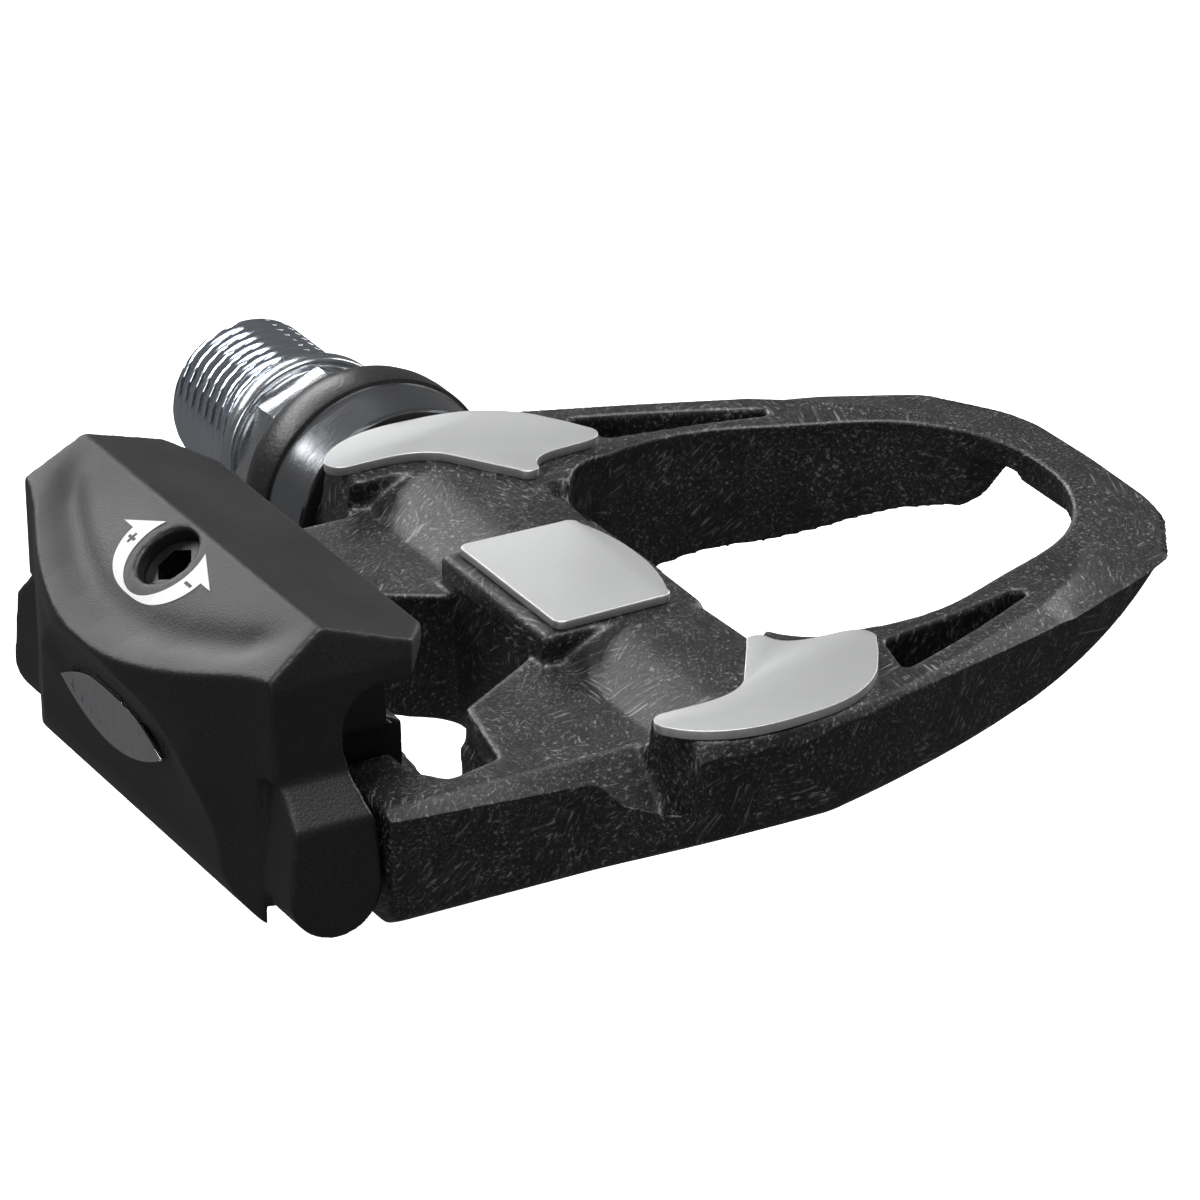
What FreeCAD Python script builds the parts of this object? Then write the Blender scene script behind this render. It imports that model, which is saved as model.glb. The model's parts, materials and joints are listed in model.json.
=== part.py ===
import FreeCAD, Part
import math
import os

# Clipless road pedal, right-hand side, in millimetres.
# Origin: on the axle axis, at the shoulder that seats on the crank arm.
# +X points forward (towards the toe), +Y towards the crank, +Z up.
# Parts of the platform are drawn about the pedal's own mid-plane (y = 0)
# and placed mid_offset away from the crank face.

V = FreeCAD.Vector

DIMENSIONS = {
    "mid_offset": 52.0,          # crank face to the pedal's mid-plane
    "thread_diameter": 14.288,   # 9/16 inch pedal thread
    "thread_length": 12.5,
    "socket_flats": 8.0,         # hex key in the axle's crank end
    "collar_flats": 15.0,        # octagonal ring beside the crank face
    "sleeve_radius": 10.8,       # lock bolt outside the body
    "insert_radius": 7.5,        # lock bolt inside the body
    "tube_radius": 6.9,
    "tube_bore": 5.9,
    "ball_radius": 1.19,         # 3/32 inch balls, inner row
    "small_ball_radius": 0.992,  # 5/64 inch balls, outer row
    "roller_radius": 0.8,
    "roller_length": 9.8,
    "running_gap": 0.05,
    "body_top": 8.6,
    "pad_thickness": 0.8,
    "barrel_radius": 8.8,
    "shelf_height": 6.1,         # top of the rear arms
    "nose_x": 46.7,
    "arm_half_width": 26.0,
    "arm_end_x": -31.6,
    "lug_inner": 15.8,           # the lugs that hold the pivot pin
    "lug_outer": 19.9,
    "lug_radius": 3.2,
    "pivot_x": -35.8,
    "pivot_z": 0.45,
    "pin_radius": 1.95,
    "wire_radius": 0.8,
    "coil_radius": 3.2,
    "face_angle": 32.5,          # slope of the binding's rear face
    "bolt_radius": 1.75,
    "bolt_head_radius": 2.6,
    "claw_half_width": 22.2,
    "cheek_outer": 25.2,
}

doc = FreeCAD.newDocument("clipless_pedal")
sheet = doc.addObject("Spreadsheet::Sheet", "dims")
for number, (alias, value) in enumerate(DIMENSIONS.items(), 1):
    sheet.set("A%d" % number, alias)
    sheet.set("B%d" % number, str(value))
    sheet.setAlias("B%d" % number, alias)
doc.recompute()


def dim(alias):
    """A driving dimension, read from the sheet."""
    return float(sheet.get(alias))


subparts = []


# ---------------------------------------------------------------- helpers

def register(obj, label):
    obj.Label = label
    subparts.append(obj)
    return obj


def new_body(label, on_platform=True):
    body = register(doc.addObject("PartDesign::Body", label), label)
    if on_platform:
        body.setExpression("Placement.Base.y", "-dims.mid_offset")
    return body


def shape_part(label, shape, on_platform=True):
    part = register(doc.addObject("Part::Feature", label), label)
    part.Shape = shape
    if on_platform:
        part.Placement = FreeCAD.Placement(V(0, -dim("mid_offset"), 0), FreeCAD.Rotation())
    return part


def sketch(body, name, role, offset=None):
    """Empty sketch on one of the body's own origin planes."""
    plane = [f for f in body.Origin.OriginFeatures if f.Role == role][0]
    sk = body.newObject("Sketcher::SketchObject", name)
    sk.AttachmentSupport = (plane, [""])
    sk.MapMode = "FlatFace"
    if offset:
        sk.setExpression("AttachmentOffset.Base.z", offset)
    return sk


def trace(sk, start, *spans):
    """Closed outline. A span of one point is a line, of two an arc, of more a spline."""
    here = start
    for span in spans:
        points = [V(p[0], p[1], 0) for p in [here] + list(span)]
        if len(points) == 2:
            sk.addGeometry(Part.LineSegment(*points))
        elif len(points) == 3:
            sk.addGeometry(Part.Arc(*points))
        else:
            curve = Part.BSplineCurve()
            curve.interpolate(points)
            sk.addGeometry(curve)
        here = span[-1]
    if here != start:
        sk.addGeometry(Part.LineSegment(V(here[0], here[1], 0), V(start[0], start[1], 0)))
    return sk


def flipped(point):
    return (point[0], -point[1])


def trace_both(sk, start, *spans):
    """Outline given for y >= 0, from start on the X axis back to it, with its mirror image."""
    starts = [start] + [span[-1] for span in spans[:-1]]
    back = []
    for first, span in zip(reversed(starts), reversed(spans)):
        back.append([flipped(p) for p in reversed([first] + list(span[:-1]))])
    return trace(sk, start, *spans, *back)


def circle(sk, centre, radius, expression=None):
    sk.addGeometry(Part.Circle(V(centre[0], centre[1], 0), V(0, 0, 1), radius))
    if expression:
        index = sk.GeometryCount - 1
        import Sketcher
        constraint = sk.addConstraint(Sketcher.Constraint("Radius", index, radius))
        sk.setExpression("Constraints[%d]" % constraint, expression)


def pad(body, sk, length, both=False, expression=None, reverse=False):
    feature = body.newObject("PartDesign::Pad", sk.Name + "_pad")
    feature.Profile = sk
    feature.SideType = "Symmetric" if both else "One side"
    feature.Reversed = reverse
    feature.Length = length
    if expression:
        feature.setExpression("Length", expression)
    doc.recompute()
    return feature


def pocket(body, sk, length=None, both=False, reverse=False):
    """Cut that has to take material away; with no length it goes right through."""
    before = body.Shape.Volume
    feature = body.newObject("PartDesign::Pocket", sk.Name + "_cut")
    feature.Profile = sk
    feature.SideType = "Symmetric" if both else "One side"
    feature.Reversed = reverse
    if length is None:
        feature.Type = "ThroughAll"
    else:
        feature.Length = length
    doc.recompute()
    if not body.Shape.Volume < before - 1e-3:
        raise RuntimeError(sk.Name + " cuts nothing")
    return feature


def mirrored(body, feature):
    """The feature again on the other side of the mid-plane."""
    plane = [f for f in body.Origin.OriginFeatures if f.Role == "XZ_Plane"][0]
    mirror = body.newObject("PartDesign::Mirrored", feature.Name + "_mirror")
    mirror.Originals = [feature]
    mirror.MirrorPlane = (plane, [""])
    body.Tip = mirror
    doc.recompute()
    return mirror


def turned(label, profile, on_platform=True):
    """Solid of revolution about Y; the profile's points are (radius, y)."""
    body = new_body(label, on_platform)
    sk = trace(sketch(body, label + "_profile", "XY_Plane"), profile[0], *[[p] for p in profile[1:]])
    feature = body.newObject("PartDesign::Revolution", label + "_turn")
    feature.Profile = sk
    feature.ReferenceAxis = (sk, ["V_Axis"])
    doc.recompute()
    return body


def turned_cut(body, name, profile):
    """Stepped bore about Y; the profile's points are (radius, y)."""
    before = body.Shape.Volume
    sk = trace(sketch(body, name, "XY_Plane"), profile[0], *[[p] for p in profile[1:]])
    feature = body.newObject("PartDesign::Groove", name + "_cut")
    feature.Profile = sk
    feature.ReferenceAxis = (sk, ["V_Axis"])
    doc.recompute()
    if not body.Shape.Volume < before - 1e-3:
        raise RuntimeError(name + " cuts nothing")


def regular(sides, flats, turn=0.0):
    """Corners of a regular polygon with the given width across its flats."""
    corner = flats / 2 / math.cos(math.pi / sides)
    angles = [math.radians(turn) + 2 * math.pi * k / sides for k in range(sides)]
    return [(corner * math.cos(a), corner * math.sin(a)) for a in angles]


def polygon(sk, points):
    return trace(sk, points[0], *[[p] for p in points[1:]])


# ---------------------------------------------------------------- axle unit
# Stations along the axle, measured from the pedal's mid-plane towards the crank.

MID = dim("mid_offset")
SLEEVE_END = 44.6
BODY_FACE = 33.3
INNER_ROW = 36.0
OUTER_ROW = -7.0
NEEDLE_MIDDLE = 11.0
CONE_RADIUS = 3.95
BALL_SEAT = 5.5
NEEDLE_SEAT = 4.2
CUP_RADIUS = 8.9
M6_RADIUS = 3.0


def make_spindle():
    """Axle: crank thread, faceted collar, ground ball and needle seats, thread for the nuts."""
    thread = dim("thread_diameter") / 2
    length = dim("thread_length")
    flat = dim("collar_flats") / 2
    corner = flat / math.cos(math.radians(22.5))
    profile = [
        (0, length), (thread - 0.9, length), (thread, length - 0.9), (thread, 0), (7.9, 0),
        (8.2, -0.3), (8.2, -1.8), (7.3, -1.8), (7.3, -2.6), (corner, -2.6), (corner, -6.0),
        (8.3, -6.2), (7.7, -7.4), (BALL_SEAT, -7.4), (BALL_SEAT, 34.2 - MID), (5.2, 32 - MID),
        (5.2, 24 - MID), (NEEDLE_SEAT, 20 - MID), (NEEDLE_SEAT, -3.0 - MID), (M6_RADIUS, -3.6 - MID),
        (M6_RADIUS, -13.2 - MID), (M6_RADIUS - 0.5, -13.7 - MID), (0, -13.7 - MID)]
    body = turned("spindle", profile, on_platform=False)
    facets = sketch(body, "collar_facets", "XZ_Plane", "2.6 mm")
    circle(facets, (0, 0), 12)
    polygon(facets, regular(8, dim("collar_flats")))
    pocket(body, facets, 3.4, reverse=True)
    socket = sketch(body, "hex_socket", "XZ_Plane", "-dims.thread_length")
    polygon(socket, regular(6, dim("socket_flats")))
    pocket(body, socket, 9.0, reverse=True)
    return body


def make_lock_bolt():
    """Black sleeve that screws into the body and carries the inner ball cup and the seal."""
    sleeve = dim("sleeve_radius")
    insert = dim("insert_radius")
    return turned("lock_bolt", [
        (6.0, 20.0), (insert - 0.4, 20.0), (insert, 20.6), (insert, BODY_FACE), (9.9, BODY_FACE + 0.1),
        (10.45, 38.2), (sleeve, 38.5), (sleeve, 40.5), (sleeve - 0.3, 42.2), (sleeve - 0.9, 43.6),
        (sleeve - 1.6, SLEEVE_END), (CUP_RADIUS, SLEEVE_END), (CUP_RADIUS, 34.0), (6.0, 34.0)])


def make_bearing_races():
    tube, bore = dim("tube_radius"), dim("tube_bore")
    gap = dim("running_gap")
    track = BALL_SEAT + 2 * dim("ball_radius") + 2 * gap
    small_track = CONE_RADIUS + 2 * dim("small_ball_radius") + 2 * gap
    turned("bearing_tube", [(bore, -5.0), (tube, -5.0), (tube, 20.0), (bore, 20.0)])
    turned("inner_cup", [
        (BALL_SEAT + 0.3, 34.0), (CUP_RADIUS, 34.0), (CUP_RADIUS, 38.0), (track, 38.0), (track, 34.5),
        (BALL_SEAT + 0.3, 34.5)])
    turned("outer_cup", [
        (small_track, -9.2), (tube, -9.2), (tube, -5.0), (bore - 0.9, -5.0), (bore - 0.9, -5.5),
        (small_track, -5.5)])
    turned("dust_seal", [
        (BALL_SEAT + 1.15, 39.2), (CUP_RADIUS, 39.2), (CUP_RADIUS, 44.0), (8.2, 44.3), (6.9, 44.0),
        (6.65, 43.2), (7.4, 42.4), (7.4, 40.4)])


def make_nuts():
    """Bearing cone with two wrench flats' worth of hexagon behind it, and the hexagon lock nut."""
    body = new_body("cone_nut")
    round_part = sketch(body, "cone_round", "XZ_Plane", "5.4 mm")
    circle(round_part, (0, 0), CONE_RADIUS)
    circle(round_part, (0, 0), M6_RADIUS)
    pad(body, round_part, 3.4)
    flats = sketch(body, "cone_flats", "XZ_Plane", "8.8 mm")
    polygon(flats, regular(6, 8.0))
    circle(flats, (0, 0), M6_RADIUS)
    pad(body, flats, 1.6)
    body = new_body("lock_nut")
    flats = sketch(body, "lock_flats", "XZ_Plane", "10.5 mm")
    polygon(flats, regular(6, 9.0, 30))
    circle(flats, (0, 0), M6_RADIUS)
    pad(body, flats, 2.6)


def around_axle(shape, count, orbit, station):
    """Copies of a rolling element round the axle."""
    copies = []
    for k in range(count):
        angle = 2 * math.pi * k / count
        copy = shape.copy()
        copy.translate(V(orbit * math.cos(angle), station, orbit * math.sin(angle)))
        copies.append(copy)
    return copies


def make_rolling_elements():
    gap = dim("running_gap")
    ball, small, roller = dim("ball_radius"), dim("small_ball_radius"), dim("roller_radius")
    inner_orbit = BALL_SEAT + gap + ball
    outer_orbit = CONE_RADIUS + gap + small
    needle_orbit = NEEDLE_SEAT + gap + roller
    length = dim("roller_length")
    shape_part("inner_balls", Part.makeCompound(
        around_axle(Part.makeSphere(ball), 17, inner_orbit, INNER_ROW)))
    shape_part("outer_balls", Part.makeCompound(
        around_axle(Part.makeSphere(small), 15, outer_orbit, OUTER_ROW)))
    needle = Part.makeCylinder(roller, length, V(0, -length / 2, 0), V(0, 1, 0))
    shape_part("needle_rollers", Part.makeCompound(
        around_axle(needle, 15, needle_orbit, NEEDLE_MIDDLE)))
    window = Part.makeCylinder(roller + 0.04, length + 0.1, V(0, -length / 2 - 0.05, 0), V(0, 1, 0))
    cage_length = length + 2.2
    start = V(0, NEEDLE_MIDDLE - cage_length / 2, 0)
    cage = Part.makeCylinder(needle_orbit + 0.35, cage_length, start, V(0, 1, 0))
    cage = cage.cut(Part.makeCylinder(needle_orbit - 0.2, cage_length, start, V(0, 1, 0)))
    shape_part("needle_cage", cage.cut(around_axle(window, 15, needle_orbit, NEEDLE_MIDDLE)))


# ---------------------------------------------------------------- pedal body

PIVOT = (dim("pivot_x"), dim("pivot_z"))
NOSE = dim("nose_x")
TOP = dim("body_top")
SHELF = dim("shelf_height")
ARM = dim("arm_half_width")
ARM_END = dim("arm_end_x")
LUG_IN = dim("lug_inner")
LUG_OUT = dim("lug_outer")
BARREL = dim("barrel_radius")
UNDERSIDE_SLOPE = 0.536      # the underside rises outwards by this much per mm


def outer_outline(sk):
    """Half of the platform's widest outline, from the nose to the ends of the arms."""
    trace_both(
        sk, (NOSE, 0),
        [(NOSE, 8.4)],
        [(46.3, 11.6), (44.6, 16.4), (41.2, 19.6)],
        [(33.0, 23.5), (20.0, 28.2), (9.8, 31.6)],
        [(4.0, 32.9), (-1.5, 33.2), (-6.2, 32.4), (-10.2, 30.2), (-12.4, 27.6), (-14.0, ARM)],
        [(ARM_END, ARM)],
        [(ARM_END, LUG_IN)],
        [(-26.4, LUG_IN)],
        [(-26.4, 0)])


def front_opening(sk):
    """The window that the cleat's nose drops into."""
    trace_both(
        sk, (5.1, 0),
        [(4.9, 8.6)],
        [(5.5, 12.4), (6.8, 16.4), (8.6, 18.6), (12.0, 19.4)],
        [(16.5, 20.1), (20.5, 19.7), (28.0, 16.8), (36.0, 12.9), (40.2, 7.2), (41.6, 0)])


def rear_opening(sk):
    """The gap between the axle housing and the rear cross-member."""
    trace_both(
        sk, (-9.3, 0),
        [(-9.3, 6.45)],
        [(-18.8, 12.6)],
        [(-19.9, 21.0)],
        [(-24.6, 22.2)],
        [(-24.6, 19.0)],
        [(-23.4, 15.0), (-22.6, 8.0), (-20.4, 0)])


def underside(sk):
    """Side view of everything below the platform: the ski-tip nose, the barrel and the arms."""
    low = -20.0
    trace(
        sk, (NOSE + 1, low),
        [(NOSE + 1, 7.2)],
        [(NOSE, 6.6)],
        [(45.0, 4.0), (41.0, 1.9), (36.0, 0.1), (30.0, -2.0), (18.0, -4.3), (9.5, -5.6)],
        [(BARREL * math.cos(math.radians(-45)), BARREL * math.sin(math.radians(-45)))],
        [(0, -BARREL), (-BARREL * math.cos(math.radians(45)), -BARREL * math.sin(math.radians(45)))],
        [(-10.5, -5.2)],
        [(-20.0, -4.6), (-27.0, -4.3), (ARM_END - 1, -4.1)],
        [(ARM_END - 1, low)])


def side_pad_outline(sk, side):
    """Outline of the side pad with its swept tail, for side +1 (crank) or -1."""
    def at(x, y):
        return (x, side * y)
    trace(
        sk, at(-8.3, 26.7),
        [at(-4.6, 26.7), at(-1.9, 26.1), at(-0.2, 24.8)],
        [at(2.0, 21.1)],
        [at(3.4, 18.9)],
        [at(4.4, 18.2), at(5.2, 18.9)],
        [at(6.0, 20.3), at(7.6, 20.9), at(12.0, 21.5)],
        [at(12.6, 22.3), at(12.4, 23.6)],
        [at(11.4, 25.6)],
        [at(9.8, 28.2)],
        [at(8.0, 30.1), at(5.0, 31.8), at(1.0, 32.5), at(-3.8, 32.4), at(-7.4, 31.0), at(-9.4, 29.0)],
        [at(-9.7, 27.6), at(-8.3, 26.7)])


def centre_pad_outline(sk):
    trace_both(
        sk, (-7.8, 0),
        [(-7.8, 7.6)],
        [(-7.5, 8.3), (-6.8, 8.5)],
        [(1.6, 8.3)],
        [(2.5, 8.1), (2.8, 7.2)],
        [(3.7, 3.8), (4.0, 0)])


SIDE_STUDS = [(-4.0, 29.5), (7.0, 25.5)]
CENTRE_STUDS = [(-8.0 + 2.2, 5.5), (1.2, 5.5)]
STUD_RADIUS = 1.1
STUD_LENGTH = 1.6


def make_pedal_body():
    body = new_body("pedal_body")
    plan = sketch(body, "plan", "XY_Plane", "-dims.barrel_radius")
    outer_outline(plan)
    pad(body, plan, BARREL + TOP, expression="dims.barrel_radius + dims.body_top")

    keel = sketch(body, "keel", "XZ_Plane")
    underside(keel)
    pocket(body, keel, both=True)

    # The underside also rises from the middle out to each side.
    bilge = sketch(body, "bilge", "XZ_Plane")
    trace(
        bilge, (NOSE + 2, -40.0),
        [(NOSE + 2, 4.0)],
        [(41.1, -2.9), (38.4, -5.1), (30.0, -10.1), (17.5, -14.2), (3.0, -16.9)],
        [(ARM_END - 1, -16.9)],
        [(ARM_END - 1, -40.0)])
    bilge_cut = body.newObject("PartDesign::Pocket", "bilge_cut")
    bilge_cut.Profile = bilge
    bilge_cut.UseCustomVector = True
    bilge_cut.AlongSketchNormal = False
    bilge_cut.Direction = V(0, 1, UNDERSIDE_SLOPE)
    bilge_cut.Length = 45
    doc.recompute()
    mirrored(body, bilge_cut)

    window = sketch(body, "window", "XY_Plane")
    front_opening(window)
    pocket(body, window, both=True)

    # Undercut below the nose, where the tip of the cleat hooks in.
    hook = sketch(body, "nose_hook", "XZ_Plane")
    polygon(hook, [(35.0, -8.0), (44.2, -8.0), (44.2, 5.6), (43.4, 6.4), (35.0, 6.4)])
    pocket(body, hook, 17.0, both=True)

    # Axle housing: a barrel from its closed end to the face that the lock bolt seats on.
    barrel = sketch(body, "barrel", "XZ_Plane", "16.5 mm")
    circle(barrel, (0, 0), BARREL, "dims.barrel_radius")
    pad(body, barrel, BODY_FACE + 16.5, reverse=True)
    crown = sketch(body, "barrel_crown", "XY_Plane", "dims.body_top")
    polygon(crown, [(-12, -20), (12, -20), (12, 34), (-12, 34)])
    pocket(body, crown, 3.0, reverse=True)

    # The platform falls from the axle's crest to the shelf and arms behind it.
    fall = sketch(body, "rear_fall", "XZ_Plane")
    trace(fall, (-1.2, TOP), [(-4.8, 7.9), (-7.6, SHELF)], [(-7.6, TOP + 1)], [(-1.2, TOP + 1)])
    pocket(body, fall, 50.0, both=True)
    shelf = sketch(body, "rear_shelf", "XY_Plane", "dims.shelf_height")
    trace_both(
        shelf, (-7.6, 0),
        [(-7.6, 24.8)],
        [(-9.0, 25.6)],
        [(-10.6, 27.4), (-10.4, 29.6)],
        [(-8.6, 32.4)],
        [(-8.6, 40.0)],
        [(-50.0, 40.0)],
        [(-50.0, 0)])
    pocket(body, shelf, 4.0, reverse=True)

    block = sketch(body, "centre_block", "XY_Plane", "2 mm")
    trace_both(block, (-9.2, 0), [(-9.2, 9.0)], [(3.4, 8.9)], [(4.6, 4.6), (5.1, 0)])
    pad(body, block, TOP - 2, expression="dims.body_top - 2")

    gap = sketch(body, "rear_gap", "XY_Plane")
    rear_opening(gap)
    pocket(body, gap, both=True)

    # The cross-member is low, so that the cleat and the binding's housing clear it.
    step = sketch(body, "cross_member_top", "XY_Plane", "3.2 mm")
    trace_both(step, (-18.0, 0), [(-18.0, 12.0)], [(-19.9, 21.0)], [(-24.6, 22.2)], [(-26.5, 19.6)],
               [(-26.6, LUG_IN)], [(-28.0, LUG_IN)], [(-28.0, 0)])
    pocket(body, step, 8.0, reverse=True)
    keel_step = sketch(body, "cross_member_bottom", "XY_Plane", "-1.9 mm")
    polygon(keel_step, [(-28, -14.8), (-19.0, -14.8), (-19.0, 14.8), (-28, 14.8)])
    pocket(body, keel_step, 8.0)

    # Lugs for the pivot pin, rounded about it.
    lug = sketch(body, "lug", "XZ_Plane", "-dims.lug_inner")
    radius = dim("lug_radius")
    px, pz = PIVOT
    trace(lug, (px, pz + radius), [(px - radius, pz), (px, pz - radius)], [(ARM_END + 1, pz - radius)],
          [(ARM_END + 1, SHELF)])
    mirrored(body, pad(body, lug, LUG_OUT - LUG_IN, reverse=True,
                       expression="dims.lug_outer - dims.lug_inner"))

    # Tapered slots in the tops of the two front rails.
    slot = sketch(body, "rail_slot", "XY_Plane", "dims.body_top")
    trace(slot, (13.6, 22.7), [(17.0, 22.1), (21.5, 21.3), (26.9, 19.9)], [(27.6, 20.4), (27.0, 21.4)],
          [(19.5, 25.0), (12.4, 27.9)])
    mirrored(body, pocket(body, slot, 6.0))

    # Bores: lock bolt thread, bearing tube, outer cup shoulder and room for the nuts.
    tube = dim("tube_radius")
    turned_cut(body, "axle_bore", [
        (0, BODY_FACE + 2), (dim("insert_radius"), BODY_FACE + 2), (dim("insert_radius"), 20.0),
        (tube, 20.0), (tube, -9.2), (5.6, -9.2), (5.6, -14.6), (0, -14.6)])
    pin = sketch(body, "pin_bore", "XZ_Plane")
    circle(pin, PIVOT, dim("pin_radius"), "dims.pin_radius")
    pocket(body, pin, 2 * LUG_OUT + 1, both=True)
    studs = sketch(body, "stud_holes", "XY_Plane", "dims.body_top")
    for x, y in SIDE_STUDS + CENTRE_STUDS:
        circle(studs, (x, y), STUD_RADIUS)
        circle(studs, (x, -y), STUD_RADIUS)
    pocket(body, studs, STUD_LENGTH)
    return body


def make_pad(label, outline, studs):
    """Stainless wear plate with the studs that hold it to the body."""
    body = new_body(label)
    plate = sketch(body, label + "_plate", "XY_Plane", "dims.body_top")
    outline(plate)
    pad(body, plate, dim("pad_thickness"), expression="dims.pad_thickness")
    feet = sketch(body, label + "_studs", "XY_Plane", "dims.body_top")
    for stud in studs:
        circle(feet, stud, STUD_RADIUS)
    pad(body, feet, STUD_LENGTH, reverse=True)


def make_pads():
    make_pad("inner_pad", lambda sk: side_pad_outline(sk, 1), SIDE_STUDS)
    make_pad("outer_pad", lambda sk: side_pad_outline(sk, -1), [flipped(p) for p in SIDE_STUDS])
    make_pad("centre_pad", centre_pad_outline, CENTRE_STUDS + [flipped(p) for p in CENTRE_STUDS])


# ---------------------------------------------------------------- rear binding
# The tension bolt stands square to the binding's rear face. Along the face is
# "across", and square to it is "up"; both are measured from the pivot.

ANGLE = math.radians(dim("face_angle"))
ACROSS = (math.cos(ANGLE), math.sin(ANGLE))
UP = (-math.sin(ANGLE), math.cos(ANGLE))
BOLT_ACROSS = 8.7
FACE_UP = 16.34
HEAD_TOP_UP = FACE_UP - 1.2
HEAD_SEAT_UP = FACE_UP - 4.4
CAVITY_TOP_UP = 8.0
PLATE_UP = (0.2, 2.35)
PLATE_ACROSS = (6.5, 10.9)
HOUSING_HALF = 15.5
CAVITY_HALF = 13.6
COIL_ROOM = 4.3


def on_face(across, up):
    return (PIVOT[0] + across * ACROSS[0] + up * UP[0], PIVOT[1] + across * ACROSS[1] + up * UP[1])


def about_pivot(radius, degrees):
    angle = math.radians(degrees)
    return (PIVOT[0] + radius * math.cos(angle), PIVOT[1] + radius * math.sin(angle))


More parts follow.
